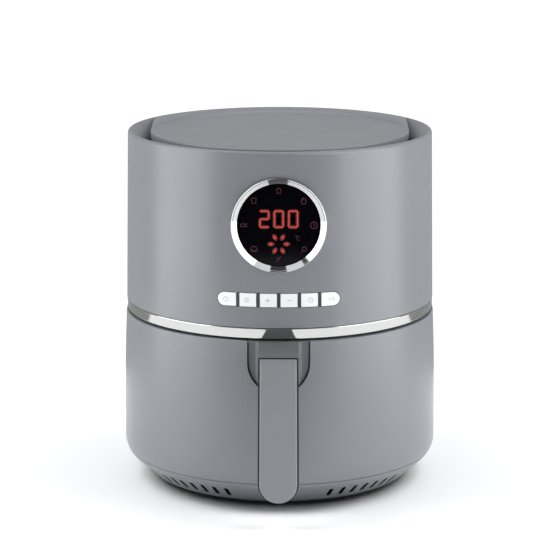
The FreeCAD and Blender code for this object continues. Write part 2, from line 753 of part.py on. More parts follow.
def make_heating_element():
    """Flat spiral of half circles, each a step smaller, with both ends bent up into legs."""
    bend_z = ELEMENT_Z + ELEMENT_BEND
    diagonal = ELEMENT_BEND * math.sqrt(0.5)
    bends = []
    for x, y in element_leg_spots():
        foot = vec(x, y, bend_z)
        middle = vec(x, -diagonal, bend_z - diagonal)
        leg = Part.LineSegment(vec(x, y, ELEMENT_LEG_TOP), foot).toShape()
        bends.append([leg, Part.Arc(foot, middle, vec(x, 0, ELEMENT_Z)).toShape()])
    turns = []
    for centre, radius, side in spiral_half_turns():
        start = vec(centre + side * radius, 0, ELEMENT_Z)
        middle = vec(centre, side * radius, ELEMENT_Z)
        end = vec(centre - side * radius, 0, ELEMENT_Z)
        turns.append(Part.Arc(start, middle, end).toShape())
    path = Part.Wire(bends[0] + turns + [bends[1][1], bends[1][0]])
    x, y = element_leg_spots()[0]
    section = Part.Wire(Part.makeCircle(ELEMENT_TUBE, vec(x, y, ELEMENT_LEG_TOP), UP))
    return path.makePipeShell([section], True, False)


def make_element_terminals():
    pieces = []
    for x, y in element_leg_spots():
        collar = rod(5.6, vec(x, y, CHAMBER_TOP), vec(x, y, SHIELD_TOP - 1.5))
        pieces.append(collar.cut(rod(ELEMENT_TUBE, vec(x, y, 190), vec(x, y, 220))))
        pieces.append(box(x - 0.5, x + 0.5, y - 3, y + 3, ELEMENT_LEG_TOP, DECK_Z - 0.4))
    return group(pieces)


def make_element_clips():
    clips = []
    for azimuth in (40, 160, 280):
        strap = box(55, 100, -3, 3, ELEMENT_Z + ELEMENT_TUBE + 0.1, ELEMENT_Z + ELEMENT_TUBE + 1.3)
        leg = box(98.8, 100, -3, 3, ELEMENT_Z + ELEMENT_TUBE + 0.1, CHAMBER_TOP - 4.2)
        clips.append(turned(fused(strap, leg), azimuth))
    return group(clips)


def make_element_guard():
    """Wire rings on eight spokes, which keep food off the element."""
    ring_radii = (24, 44, 64, 84, 100)
    rings = [Part.makeTorus(radius, GUARD_WIRE, vec(0, 0, GUARD_Z)) for radius in ring_radii]
    spoke_z = GUARD_Z - GUARD_WIRE * 1.4
    spokes = []
    for k in range(8):
        azimuth = k * 45 + 22.5
        spokes.append(rod(GUARD_WIRE, polar(23, azimuth, spoke_z), polar(CHAMBER_R - 1, azimuth, spoke_z)))
    return fused(*rings, *spokes)


def fan(hub_r, tip_r, z0, z1, plate_z, blade_count, lean):
    """Centrifugal wheel: hub, back plate and flat blades that lean back."""
    hub = rod(hub_r, vec(0, 0, z0), vec(0, 0, z1))
    plate = rod(tip_r, vec(0, 0, plate_z), vec(0, 0, plate_z + 1.2))
    blades = []
    for index in range(blade_count):
        blade = box(hub_r + 6, tip_r - 1, -0.5, 0.5, z0, z1)
        blade.rotate(vec(hub_r + 6, 0, 0), UP, lean)
        blades.append(turned(blade, index * 360.0 / blade_count))
    wheel = fused(hub, plate, *blades)
    limit = rod(tip_r, vec(0, 0, z0 - 5), vec(0, 0, z1 + 5))
    return wheel.common(limit).cut(rod(SHAFT_R, vec(0, 0, z0 - 20), vec(0, 0, z1 + 20)))


def make_hot_air_fan():
    return fan(9.0, 62.0, 177.0, 190.0, 188.8, 14, 22)


def make_cooling_fan():
    return fan(9.0, 46.0, 252.0, 266.0, 252.0, 11, -18)


def make_motor_shaft():
    return rod(SHAFT_R, vec(0, 0, SHAFT_LOW), vec(0, 0, SHAFT_HIGH))


def make_fan_nut():
    corner_r = 7.0
    angles = [math.radians(60 * k) for k in range(6)]
    corners = [(corner_r * math.cos(angle), corner_r * math.sin(angle)) for angle in angles]
    nut = along_z(corners, SHAFT_LOW + 0.5, SHAFT_LOW + 4)
    return nut.cut(rod(SHAFT_R, vec(0, 0, 170), vec(0, 0, 180)))


# --- motor and power ----------------------------------------------------------------------
def make_motor_deck():
    deck = rod(126.0, vec(0, 0, DECK_Z), vec(0, 0, DECK_Z + 1.5))
    holes = [rod(SHAFT_HOLE_R, vec(0, 0, 210), vec(0, 0, 220))]
    holes.append(rod(3.4, vec(0, SENSOR_Y, 210), vec(0, SENSOR_Y, 220)))
    for index in range(20):
        holes.append(turned(box(108, 121, -2.5, 2.5, 210, 220), 9 + index * 18))
    legs = []
    for k in range(4):
        leg = box(100, 106, -8, 8, SHIELD_TOP, DECK_Z)
        legs.append(turned(leg, 45 + 90 * k))
    notch = box(-60, 60, -BIG, -108.0, 200, 230)
    return fused(deck.cut(group(holes)).cut(notch), *legs)


def make_motor_standoffs():
    spots = [(x, y) for x in (-24, 24) for y in (-20, 20)]
    return group(rod(3.0, vec(x, y, DECK_Z + 1.5), vec(x, y, LOWER_BEARING_Z)) for x, y in spots)


def make_bearing_plate(z0):
    z1 = z0 + BEARING_SHEET
    plate = box(-MOTOR_HALF_X, MOTOR_HALF_X, -MOTOR_HALF_Y, MOTOR_HALF_Y, z0, z1)
    cup = rod(9.0, vec(0, 0, z0 - 2), vec(0, 0, z1 + 2))
    bore = rod(SHAFT_R + SHAFT_CLEARANCE, vec(0, 0, z0 - 5), vec(0, 0, z1 + 5))
    return fused(plate, cup).cut(bore)


def make_motor_stator():
    core = box(-MOTOR_HALF_X, MOTOR_HALF_X, -MOTOR_HALF_Y, MOTOR_HALF_Y, STATOR_LOW, STATOR_HIGH)
    bore = rod(ROTOR_R + 0.5, vec(0, 0, STATOR_LOW - 5), vec(0, 0, STATOR_HIGH + 5))
    window = box(-MOTOR_HALF_X - 1, COIL_X[1], -COIL_HALF_Y, COIL_HALF_Y, STATOR_LOW - 1, STATOR_HIGH + 1)
    return core.cut([bore, window])


def make_motor_coil():
    return box(COIL_X[0], COIL_X[1], -COIL_HALF_Y, COIL_HALF_Y, STATOR_LOW - 1, STATOR_HIGH + 1)


def make_motor_rotor():
    core = rod(ROTOR_R, vec(0, 0, STATOR_LOW + 0.5), vec(0, 0, STATOR_HIGH - 0.5))
    return core.cut(rod(SHAFT_R, vec(0, 0, STATOR_LOW - 5), vec(0, 0, STATOR_HIGH + 5)))


def make_power_board():
    return box(-112, -64, -44, 44, DECK_Z + 6, DECK_Z + 6 + BOARD_SHEET)


def make_power_components():
    top = DECK_Z + 6 + BOARD_SHEET
    blocks = [
        box(-108, -84, -40, -18, top, top + 20), box(-80, -68, -40, -20, top, top + 15),
        box(-106, -90, 2, 18, top, top + 16), box(-84, -70, 6, 12, top, top + 18),
    ]
    cans = [rod(5.5, vec(x, y, top), vec(x, y, top + 22)) for x, y in ((-98, 30), (-82, 30), (-74, -8))]
    corners = [(x, y) for x in (-108, -68) for y in (-40, 40)]
    legs = [box(x - 2, x + 2, y - 2, y + 2, DECK_Z + 1.5, DECK_Z + 6) for x, y in corners]
    return group(blocks + cans + legs)


def make_temperature_sensor():
    probe = rod(2.4, vec(0, SENSOR_Y, 172), vec(0, SENSOR_Y, 211))
    head = rod(3.2, vec(0, SENSOR_Y, 211), vec(0, SENSOR_Y, 222))
    return fused(probe, head)


def make_thermal_fuse():
    fuse_z = SHIELD_TOP + 3
    body = rod(3.0, vec(40, 60, fuse_z), vec(62, 60, fuse_z))
    saddle = box(45, 57, 57, 63, SHIELD_TOP, SHIELD_TOP + 1)
    return fused(body, saddle)


def make_terminal_block():
    block = box(60, 90, 30, 46, DECK_Z + 1.5, DECK_Z + 14)
    holes = [rod(1.8, vec(66 + 9 * k, 20, DECK_Z + 8), vec(66 + 9 * k, 60, DECK_Z + 8)) for k in range(3)]
    return block.cut(group(holes))


# --- drawer -------------------------------------------------------------------------------
def escutcheon_outline(inset, z_top):
    half = ESCUTCHEON_HALF - inset
    return [(-half, z_top), (-half, ESCUTCHEON_Z), ((0, ESCUTCHEON_Z - half), (half, ESCUTCHEON_Z)),
            (half, z_top)]


def make_drawer_front():
    z_top = Z_DRAWER_TOP
    plate_z = z_top - 2.4
    edge = 0.8
    top_points = [(LINER_R, z_top), (belly(z_top) - edge, z_top),
                  ((belly(z_top) - 0.25, z_top - 0.25), (belly(z_top - edge), z_top - edge))]
    outline = skin_outline(z_top - edge, SEAM_ANGLE, SEAM_ANGLE, top_points)
    middle_z = (plate_z + Z_BELLY) / 2
    outline.append(((belly(middle_z, SKIN), middle_z), (belly(plate_z, SKIN), plate_z)))
    outline.append((LINER_R, plate_z))
    front = front_part(revolved(outline))
    cavity = revolved([
        (LINER_R + 1.5, 27.5), (129.8, 27.5), (132.0, 34.5), (132.0, 60.0),
        (belly(plate_z, SKIN) - 0.3, plate_z), (LINER_R + 1.5, plate_z),
    ])
    ends = cavity.common(box(-BIG, BIG, PARTING_Y - 2, PARTING_Y, 0, BIG))
    skin_joint = revolved([
        (128.0, 40.0), (R_MAX - 1.0, 40.0), (belly(plate_z) - 1.0, plate_z), (128.0, plate_z),
    ]).common(box(-BIG, BIG, PARTING_Y - 2, PARTING_Y, 0, BIG))
    front = fused(front, ends, skin_joint)
    outside = tube(BIG, NECK_ROOT_R, 0, BIG)
    opening = along_y(escutcheon_outline(0, z_top + 5), -BIG, -60).common(outside)
    return front.cut(opening)


def make_drawer_liner():
    wall = 1.5
    outline = [
        (LINER_R, 25.5), (129.9, 25.5), (129.9, 27.5), (LINER_R + wall, 27.5),
        (LINER_R + wall, Z_DRAWER_TOP - 2.4), (LINER_R, Z_DRAWER_TOP - 2.4),
    ]
    return front_part(revolved(outline))


def escutcheon_y(x):
    return -math.sqrt(ESCUTCHEON_R ** 2 - x ** 2)


def neck_plan():
    """Outline of the escutcheon and the neck seen from above, with a fillet where they meet."""
    half = ESCUTCHEON_HALF - ESCUTCHEON_GAP
    width = HANDLE_HALF_TOP
    foot = width + NECK_FILLET
    between = (half + foot) / 2
    root_y = escutcheon_y(width)
    right = [
        (width, -CAP_BACK), (width, root_y - NECK_FILLET),
        ((width + 0.3 * NECK_FILLET, root_y - 0.45 * NECK_FILLET), (foot, escutcheon_y(foot))),
        ((between, escutcheon_y(between)), (half, escutcheon_y(half))),
        (half, -100),
    ]
    left = [
        (-half, -100), (-half, escutcheon_y(half)),
        ((-between, escutcheon_y(between)), (-foot, escutcheon_y(foot))),
        ((-width - 0.3 * NECK_FILLET, root_y - 0.45 * NECK_FILLET), (-width, root_y - NECK_FILLET)),
        (-width, -CAP_BACK),
    ]
    return left + right


def make_handle_body():
    """Escutcheon, neck and the back of the grip in one moulding."""
    z_top = Z_DRAWER_TOP - 0.2
    inner_r = NECK_ROOT_R
    side = along_x([
        (-100, z_top), (-ESCUTCHEON_R, z_top), (-CAP_BACK, HANDLE_TOP),
        (-CAP_BACK, 116.0), ((-148.0, 112.0), (-135.5, 96.0)), (-100, 96.0),
    ], -60, 60)
    neck = along_y(escutcheon_outline(ESCUTCHEON_GAP, z_top), -BIG, -100)
    neck = neck.common(along_z(neck_plan(), 0, BIG)).common(side)
    neck = neck.cut(rod(inner_r, vec(0, 0, 0), vec(0, 0, BIG)))
    flange = tube(inner_r - 0.1, inner_r - 2.1, 60, z_top - 3)
    flange = flange.common(along_y(escutcheon_outline(-5, z_top), -BIG, -60))
    web = along_y(escutcheon_outline(6, z_top - 6), -BIG, -60)
    web = web.common(tube(inner_r + 1, inner_r - 1, 60, BIG))
    grip = along_y(grip_outline(0.0), -CAP_BACK, -HANDLE_BACK)
    rear_edges = [edge for edge in grip.Edges if edge.BoundBox.YMin > -HANDLE_BACK - 0.01]
    grip = grip.makeFillet(4.0, rear_edges)
    body = fused(neck, flange, web, grip)
    pilots = [rod(SCREW_R, start, end) for start, end in handle_screw_axes()]
    return body.cut(group(pilots))


def grip_outline(border):
    top = HANDLE_TOP - border * 0.7
    half_top = HANDLE_HALF_TOP - border
    half_end = HANDLE_HALF_END - border
    centre = HANDLE_END + HANDLE_HALF_END
    return [(-half_top, top), (-half_end, centre), ((0, HANDLE_END + border), (half_end, centre)),
            (half_top, top)]


def make_handle_cap():
    cap = along_y(grip_outline(CAP_BORDER), -HANDLE_REACH, -CAP_BACK)
    front_edges = [edge for edge in cap.Edges if edge.BoundBox.YMax < -HANDLE_REACH + 0.01]
    return cap.makeFillet(1.4, front_edges)


def handle_screw_axes():
    """Screws go in from inside the drawer, through the flange into the neck."""
    inner = NECK_ROOT_R - 2.7
    return [(vec(x, -inner, z), vec(x, -inner - 16, z)) for x, z in ((-8, 134), (8, 134), (0, 114))]


def make_handle_screws():
    screws = []
    for start, end in handle_screw_axes():
        head = rod(3.2, start + vec(0, 2.4, 0), start)
        recess = rod(1.1, start + vec(0, 4, 0), start + vec(0, 1.2, 0))
        screws.append(rod(SCREW_R, start, end).fuse(head).cut(recess))
    return group(screws)


def pan_radius(z):
    """Outer radius of the pan's tapered wall."""
    z_wall = PAN_Z + PAN_FILLET
    r_wall = PAN_FLAT_R + PAN_FILLET
    return r_wall + (PAN_R - r_wall) * (z - z_wall) / (PAN_RIM_Z - 2 - z_wall)


def make_pan():
    corner = PAN_FILLET * math.sqrt(0.5)
    inner_fillet = PAN_FILLET - PAN_WALL
    inner_corner = inner_fillet * math.sqrt(0.5)
    z_wall = PAN_Z + PAN_FILLET
    return revolved([
        (0, PAN_Z), (PAN_FLAT_R, PAN_Z),
        ((PAN_FLAT_R + corner, z_wall - corner), (PAN_FLAT_R + PAN_FILLET, z_wall)),
        (pan_radius(PAN_RIM_Z - 2), PAN_RIM_Z - 2), (PAN_RIM_R, PAN_RIM_Z - 2),
        (PAN_RIM_R, PAN_RIM_Z - 0.8), (PAN_RIM_R - 0.8, PAN_RIM_Z),
        (PAN_R + 0.4, PAN_RIM_Z), (PAN_R - PAN_WALL, PAN_RIM_Z - 1.6),
        (PAN_FLAT_R + inner_fillet, z_wall),
        ((PAN_FLAT_R + inner_corner, z_wall - inner_corner), (PAN_FLAT_R, PAN_Z + PAN_WALL)),
        (0, PAN_Z + PAN_WALL),
    ])


def make_pan_bracket():
    """Steel bracket between the pan's front and the drawer's liner."""
    plate = tube(LINER_R, LINER_R - 1.4, 62, 137).common(radial_wedge(-30, 30))
    shelves = []
    for z in (64.0, 130.0):
        shelf = tube(LINER_R - 1.4, pan_radius(z) + 0.05, z, z + 1.6).common(radial_wedge(-28, 28))
        shelves.append(shelf)
    return fused(plate, *shelves)


# --- grid ---------------------------------------------------------------------------------
def make_crisper_grid():
    """Perforated plate with a raised edge and a lifting ring in the middle."""
    plate = revolved([
        (0, GRID_Z), (GRID_R - 4, GRID_Z), (GRID_R, GRID_Z + 3.5), (GRID_R, GRID_Z + 7),
        (GRID_R - 1.5, GRID_Z + 7), (GRID_R - 1.5, GRID_Z + 4.2), (GRID_R - 4.6, GRID_Z + 1.5),
        (0, GRID_Z + 1.5),
    ])
    holes = []
    for radius, count in ((22, 8), (34, 13), (46, 18), (58, 23), (70, 28), (82, 32)):
        for index in range(count):
            spot = polar(radius, index * 360.0 / count, 0)
            holes.append(rod(3.4, vec(spot.x, spot.y, GRID_Z - 2), vec(spot.x, spot.y, GRID_Z + 4)))
    eye_post = [box(side * 9 - 1.5, side * 9 + 1.5, -2, 2, GRID_Z + 1, GRID_Z + 14) for side in (-1, 1)]
    eye_bar = rod(2.0, vec(-10.5, 0, GRID_Z + 14), vec(10.5, 0, GRID_Z + 14))
    legs = [rod(2.5, polar(64, 30 + 120 * k, PAN_Z + PAN_WALL + 0.3), polar(64, 30 + 120 * k, GRID_Z + 1))
            for k in range(3)]
    return fused(plate.cut(group(holes)), *eye_post, eye_bar, *legs)


def make_grid_bumpers():
    bumpers = []
    for k in range(4):
        pad = tube(pan_radius(GRID_Z + 2) - PAN_WALL - 0.4, GRID_R, GRID_Z + 3.6, GRID_Z + 8.0)
        pad = pad.common(radial_wedge(45 + 90 * k - 4, 45 + 90 * k + 4))
        bumpers.append(pad)
    return group(bumpers)


# --- assembly -----------------------------------------------------------------------------
parts["upper_shell"] = make_upper_shell()
parts["top_cover"] = make_top_cover()
parts["intake_grille"] = make_intake_grille()
parts["chrome_band"] = make_chrome_band()
parts["display_bezel"] = make_display_bezel()
parts["display_glass"] = make_display_glass()
parts["display_module"] = make_display_module()
parts["control_board"] = make_control_board()
parts["key_board"] = make_key_board()
parts["key_frame"] = make_key_frame()
for number, key_name in enumerate(KEY_NAMES):
    parts[key_name] = make_key(number)
parts["rear_shell"] = make_rear_shell()
parts["rear_screws"] = make_rear_screws()
parts["cord_gland"] = make_cord_gland()
parts["outlet_housing"] = make_outlet_housing()
parts["outlet_grille"] = make_outlet_grille()
parts["base_tray"] = make_base_tray()
parts["base_plate"] = make_base_plate()
parts["base_screws"] = make_base_screws()
parts["rubber_feet"] = make_rubber_feet()
parts["drawer_bay"] = make_drawer_bay()
parts["glide_strips"] = make_glide_strips()
parts["interlock_switch"] = make_interlock_switch()
parts["interlock_plunger"] = make_interlock_plunger()
parts["heat_shield"] = make_heat_shield()
parts["outer_shield"] = make_outer_shield()
parts["heating_element"] = make_heating_element()
parts["element_terminals"] = make_element_terminals()
parts["element_clips"] = make_element_clips()
parts["element_guard"] = make_element_guard()
parts["hot_air_fan"] = make_hot_air_fan()
parts["cooling_fan"] = make_cooling_fan()
parts["motor_shaft"] = make_motor_shaft()
parts["fan_nut"] = make_fan_nut()
parts["motor_rotor"] = make_motor_rotor()
parts["motor_deck"] = make_motor_deck()
parts["motor_standoffs"] = make_motor_standoffs()
parts["lower_bearing_plate"] = make_bearing_plate(LOWER_BEARING_Z)
parts["upper_bearing_plate"] = make_bearing_plate(UPPER_BEARING_Z)
parts["motor_stator"] = make_motor_stator()
parts["motor_coil"] = make_motor_coil()
parts["power_board"] = make_power_board()
parts["power_components"] = make_power_components()
parts["temperature_sensor"] = make_temperature_sensor()
parts["thermal_fuse"] = make_thermal_fuse()
parts["terminal_block"] = make_terminal_block()
parts["drawer_front"] = make_drawer_front()
parts["drawer_liner"] = make_drawer_liner()
parts["handle_body"] = make_handle_body()
parts["handle_cap"] = make_handle_cap()
parts["handle_screws"] = make_handle_screws()
parts["pan"] = make_pan()
parts["pan_bracket"] = make_pan_bracket()
parts["crisper_grid"] = make_crisper_grid()
parts["grid_bumpers"] = make_grid_bumpers()

os.makedirs("parts", exist_ok=True)
for name, shape in parts.items():
    placed = shape.copy()
    placed.translate(vec(0, AXIS_Y, 0))
    placed.exportStep(os.path.join("parts", name + ".step"))
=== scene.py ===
"""Looks of the round countertop air fryer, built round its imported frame. Metres, +Z up, front towards -Y."""

import math

import bmesh
import bpy
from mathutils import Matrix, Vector


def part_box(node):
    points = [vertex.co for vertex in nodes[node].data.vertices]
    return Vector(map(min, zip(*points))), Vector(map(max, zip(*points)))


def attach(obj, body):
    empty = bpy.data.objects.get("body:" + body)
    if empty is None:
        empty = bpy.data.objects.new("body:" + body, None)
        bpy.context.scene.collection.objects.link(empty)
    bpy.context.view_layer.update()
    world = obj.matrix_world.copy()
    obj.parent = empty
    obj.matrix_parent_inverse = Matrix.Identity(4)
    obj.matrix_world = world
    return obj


MM = 0.001

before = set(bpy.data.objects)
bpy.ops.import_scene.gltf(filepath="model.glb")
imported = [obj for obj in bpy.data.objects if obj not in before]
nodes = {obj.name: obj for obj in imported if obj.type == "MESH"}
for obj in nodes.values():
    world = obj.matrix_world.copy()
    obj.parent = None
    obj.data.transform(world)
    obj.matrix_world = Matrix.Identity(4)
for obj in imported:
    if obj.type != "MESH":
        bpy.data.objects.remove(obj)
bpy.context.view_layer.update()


# --- places taken from the frame ------------------------------------------------------------
def middle_of(node):
    low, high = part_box(node)
    return (Vector(low) + Vector(high)) / 2


AXIS_Y = middle_of("base_plate").y
RIM_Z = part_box("upper_shell")[1][2]
GLASS_MID = middle_of("display_glass")
GLASS_FACE_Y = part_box("display_glass")[0][1]
KEY_FACE_RADIUS = AXIS_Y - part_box("key_plus")[0][1]


# --- camera, light and floor ----------------------------------------------------------------
def make_camera():
    """Eye level a little above the rim, about two metres away, looking slightly down."""
    distance = 2.056
    rise_over_rim = 0.3124
    azimuth = math.radians(0.4)
    pitch = math.radians(12.1)
    yaw = math.radians(0.517)
    data = bpy.data.cameras.new("camera")
    data.lens = 158.1
    data.sensor_width = 36.0
    camera = bpy.data.objects.new("camera", data)
    x = distance * math.sin(azimuth)
    y = AXIS_Y - distance * math.cos(azimuth)
    camera.location = (x, y, RIM_Z + rise_over_rim)
    camera.rotation_euler = (math.pi / 2 - pitch, 0, yaw)
    bpy.context.scene.collection.objects.link(camera)
    bpy.context.scene.camera = camera


def softbox(name, place, target, width, height, radiance, color=(1, 1, 1)):
    """Rectangular light whose face has an even radiance, and that no view shows."""
    data = bpy.data.lights.new(name, "AREA")
    data.shape = "RECTANGLE"
    data.size = width
    data.size_y = height
    data.energy = radiance * math.pi * width * height
    data.color = color
    lamp = bpy.data.objects.new(name, data)
    lamp.location = place
    direction = Vector(target) - Vector(place)
    lamp.rotation_euler = direction.to_track_quat("-Z", "Y").to_euler()
    lamp.visible_camera = False
    bpy.context.scene.collection.objects.link(lamp)
    return lamp


def link_light(lamp, floor, state):
    """INCLUDE: the lamp lights nothing but the floor. EXCLUDE: it lights all but the floor."""
    group = bpy.data.collections.new(lamp.name + "_floor")
    group.objects.link(floor)
    group.collection_objects[0].light_linking.link_state = state
    lamp.light_linking.receiver_collection = group


def make_lights(floor):
    """Tall panels at the sides, cooler ones overhead, and a pair that lights only the floor."""
    panel_height = 2.5
    panel_z = 0.65
    for name, x, y, width in (("left_panel", -1.35, -0.46, 1.34), ("right_panel", 1.3, -0.62, 1.54)):
        panel = softbox(name, (x, y, panel_z), (0, y, panel_z), width, panel_height, radiance=3.2)
        link_light(panel, floor, "EXCLUDE")

    cool = (0.94, 0.97, 1.0)
    ceiling = 2.0
    back_y = 0.45
    front_y = -1.05
    softbox("overhead_panel", (0, back_y, ceiling), (0, back_y, 0), 2.2, 1.6, 1.1, cool)
    for name, x, width in (("left_overhead", -0.94, 1.08), ("right_overhead", 1.15, 1.5)):
        softbox(name, (x, front_y, ceiling), (x, front_y, 0), width, 1.4, 1.1, cool)

    lamp_side = 1.2
    lamp_z = 1.65
    for name, x in (("left_floor_light", -1.25), ("right_floor_light", 1.25)):
        lamp = softbox(name, (x, AXIS_Y, lamp_z), (0, AXIS_Y, 0), lamp_side, lamp_side, radiance=6.2)
        link_light(lamp, floor, "INCLUDE")


def make_world():
    """Dim studio, dark in front of the object and grey behind it. A view past the floor is white."""
    front_strength = 0.03
    back_strength = 0.38
    backdrop_strength = 1.1
    world = bpy.data.worlds.new("studio")
    world.use_nodes = True
    tree = world.node_tree
    room = tree.nodes["Background"]
    place = tree.nodes.new("ShaderNodeTexCoord")
    split = tree.nodes.new("ShaderNodeSeparateXYZ")
    tree.links.new(place.outputs["Generated"], split.inputs["Vector"])
    shade = tree.nodes.new("ShaderNodeMapRange")
    shade.interpolation_type = "SMOOTHSTEP"
    shade.inputs["From Min"].default_value = -0.8
    shade.inputs["From Max"].default_value = 0.4
    shade.inputs["To Min"].default_value = front_strength
    shade.inputs["To Max"].default_value = back_strength
    tree.links.new(split.outputs["Y"], shade.inputs["Value"])
    tree.links.new(shade.outputs["Result"], room.inputs["Strength"])
    room.inputs["Color"].default_value = (1.0, 1.0, 1.0, 1.0)
    backdrop = tree.nodes.new("ShaderNodeBackground")
    backdrop.inputs["Color"].default_value = (1.0, 1.0, 1.0, 1.0)
    backdrop.inputs["Strength"].default_value = backdrop_strength
    path = tree.nodes.new("ShaderNodeLightPath")
    mix = tree.nodes.new("ShaderNodeMixShader")
    tree.links.new(path.outputs["Is Camera Ray"], mix.inputs["Fac"])
    tree.links.new(room.outputs["Background"], mix.inputs[1])
    tree.links.new(backdrop.outputs["Background"], mix.inputs[2])
    tree.links.new(mix.outputs["Shader"], tree.nodes["World Output"].inputs["Surface"])
    bpy.context.scene.world = world


def make_floor():
    """Round white table top. It reaches further to the front than to the back."""
    radius = 0.78
    centre_y = -0.4
    mesh = bpy.data.meshes.new("floor")
    shape = bmesh.new()
    bmesh.ops.create_circle(shape, cap_ends=True, segments=96, radius=radius)
    bmesh.ops.translate(shape, verts=shape.verts, vec=(0, centre_y, 0))
    shape.to_mesh(mesh)
    shape.free()
    floor = bpy.data.objects.new("floor", mesh)
    material = bpy.data.materials.new("white_floor")
    material.use_nodes = True
    shader = material.node_tree.nodes["Principled BSDF"]
    shader.inputs["Base Color"].default_value = (0.96, 0.96, 0.96, 1)
    shader.inputs["Roughness"].default_value = 0.6
    shader.inputs["Specular IOR Level"].default_value = 0.2
    mesh.materials.append(material)
    bpy.context.scene.collection.objects.link(floor)
    return floor


# --- materials ------------------------------------------------------------------------------
# Places of a Mix node's colour sockets. Their names are shared with its other kinds of input.
MIX_FIRST = 6
MIX_SECOND = 7
MIX_RESULT = 2


class Paint:
    """One procedural material: a shader, and noise in object space that varies it."""

    def __init__(self, name, color, roughness, metallic=0.0):
        self.material = bpy.data.materials.new(name)
        self.material.use_nodes = True
        self.tree = self.material.node_tree
        self.shader = self.tree.nodes["Principled BSDF"]
        self.color = tuple(color) + (1.0,)
        self.roughness = roughness
        self.shader.inputs["Base Color"].default_value = self.color
        self.shader.inputs["Roughness"].default_value = roughness
        self.shader.inputs["Metallic"].default_value = metallic
        self.place = self.tree.nodes.new("ShaderNodeTexCoord").outputs["Object"]

    def noise(self, grain, detail=2.0, stretch=None):
        """Noise whose grain is a size in metres. Stretch scales the space along each axis."""
        source = self.place
        if stretch:
            mapping = self.tree.nodes.new("ShaderNodeMapping")
            mapping.inputs["Scale"].default_value = stretch
            self.tree.links.new(source, mapping.inputs["Vector"])
            source = mapping.outputs["Vector"]
        node = self.tree.nodes.new("ShaderNodeTexNoise")
        node.inputs["Scale"].default_value = 1.0 / grain
        node.inputs["Detail"].default_value = detail
        self.tree.links.new(source, node.inputs["Vector"])
        return node.outputs["Fac"]

    def cells(self, grain):
        """Distance to the nearest of many scattered points, about a grain apart."""
        node = self.tree.nodes.new("ShaderNodeTexVoronoi")
        node.inputs["Scale"].default_value = 1.0 / grain
        self.tree.links.new(self.place, node.inputs["Vector"])
        return node.outputs["Distance"]

    def axis(self, name):
        """One coordinate of the point on the surface, X, Y or Z, in metres."""
        node = self.tree.nodes.new("ShaderNodeSeparateXYZ")
        self.tree.links.new(self.place, node.inputs["Vector"])
        return node.outputs[name]

    def math(self, operation, *values):
        """Math node. A value is a number or another node's output."""
        node = self.tree.nodes.new("ShaderNodeMath")
        node.operation = operation
        for socket, value in zip(node.inputs, values):
            if isinstance(value, (int, float)):
                socket.default_value = value
            else:
                self.tree.links.new(value, socket)
        return node.outputs["Value"]

    def remap(self, source, low, high, from_low=0.3, from_high=0.7):
        """Stretch the source's range, from_low to from_high, to the range low to high."""
        node = self.tree.nodes.new("ShaderNodeMapRange")
        node.inputs["From Min"].default_value = from_low
        node.inputs["From Max"].default_value = from_high
        node.inputs["To Min"].default_value = low
        node.inputs["To Max"].default_value = high
        self.tree.links.new(source, node.inputs["Value"])
        return node.outputs["Result"]

    def vary_color(self, source, other, from_low=0.3, from_high=0.7):
        """Blend from the colour so far to another where the source is high."""
        mix = self.tree.nodes.new("ShaderNodeMix")
        mix.data_type = "RGBA"
        mix.inputs[MIX_FIRST].default_value = self.color
        mix.inputs[MIX_SECOND].default_value = tuple(other) + (1.0,)
        before = self.shader.inputs["Base Color"].links
        if before:
            self.tree.links.new(before[0].from_socket, mix.inputs[MIX_FIRST])
        self.tree.links.new(self.remap(source, 0.0, 1.0, from_low, from_high), mix.inputs["Factor"])
        self.tree.links.new(mix.outputs[MIX_RESULT], self.shader.inputs["Base Color"])
        return self

    def vary_roughness(self, source, spread):
        """Let the source move the roughness up and down by the spread."""
        low = max(0.02, self.roughness - spread)
        result = self.remap(source, low, self.roughness + spread)
        self.tree.links.new(result, self.shader.inputs["Roughness"])
        return self

    def bump(self, source, height, strength=1.0):
        """Raise the surface by up to a height in metres, on top of the bumps so far."""
        node = self.tree.nodes.new("ShaderNodeBump")
        node.inputs["Distance"].default_value = height
        node.inputs["Strength"].default_value = strength
        self.tree.links.new(source, node.inputs["Height"])
        before = self.shader.inputs["Normal"].links
        if before:
            self.tree.links.new(before[0].from_socket, node.inputs["Normal"])
        self.tree.links.new(node.outputs["Normal"], self.shader.inputs["Normal"])
        return self

    def set(self, **values):
        """Set the shader's own sockets. A name's underscores stand for spaces."""
        for name, value in values.items():
            self.shader.inputs[name.replace("_", " ")].default_value = value
        return self


def scale_color(color, factor):
    """The colour made lighter by a factor above one, or darker by one below."""
    return tuple(min(1.0, channel * factor) for channel in color)


def moulded(name, color, roughness=0.5, grain=0.6 * MM, height=0.03 * MM):
    """Spark-eroded matte plastic: a fine grain, and a slow drift in colour and gloss."""
    paint = Paint(name, color, roughness)
    paint.vary_color(paint.noise(60 * MM, 3), scale_color(color, 1.05))
    paint.vary_color(paint.noise(grain, 1), scale_color(color, 0.94), 0.45, 0.8)
    paint.vary_roughness(paint.noise(25 * MM, 4), 0.025)
    paint.bump(paint.noise(grain, 3), height)
    return paint


SHELL_COLOR = (0.205, 0.210, 0.229)
# Near-black colour of the painted shade inside the base's vent slots.
PAINTED_SLOT_SHADE = (0.006, 0.006, 0.007)

# The base tray's slanted outer wall: its angle from upright, its radius at the foot, the height
# where it ends, and the depth below its face where the painted shade inside begins.
BASE_ANGLE = math.radians(48)
BASE_FOOT_RADIUS = 111.7 * MM
BASE_CONE_TOP = 19.8 * MM
BASE_SKIN = 0.6 * MM


def make_shell_paint():
    return moulded("shell_plastic", SHELL_COLOR, 0.31).set(Specular_IOR_Level=0.55).material


def make_dark_paint():
    return moulded("dark_plastic", (0.055, 0.057, 0.062), 0.5).material


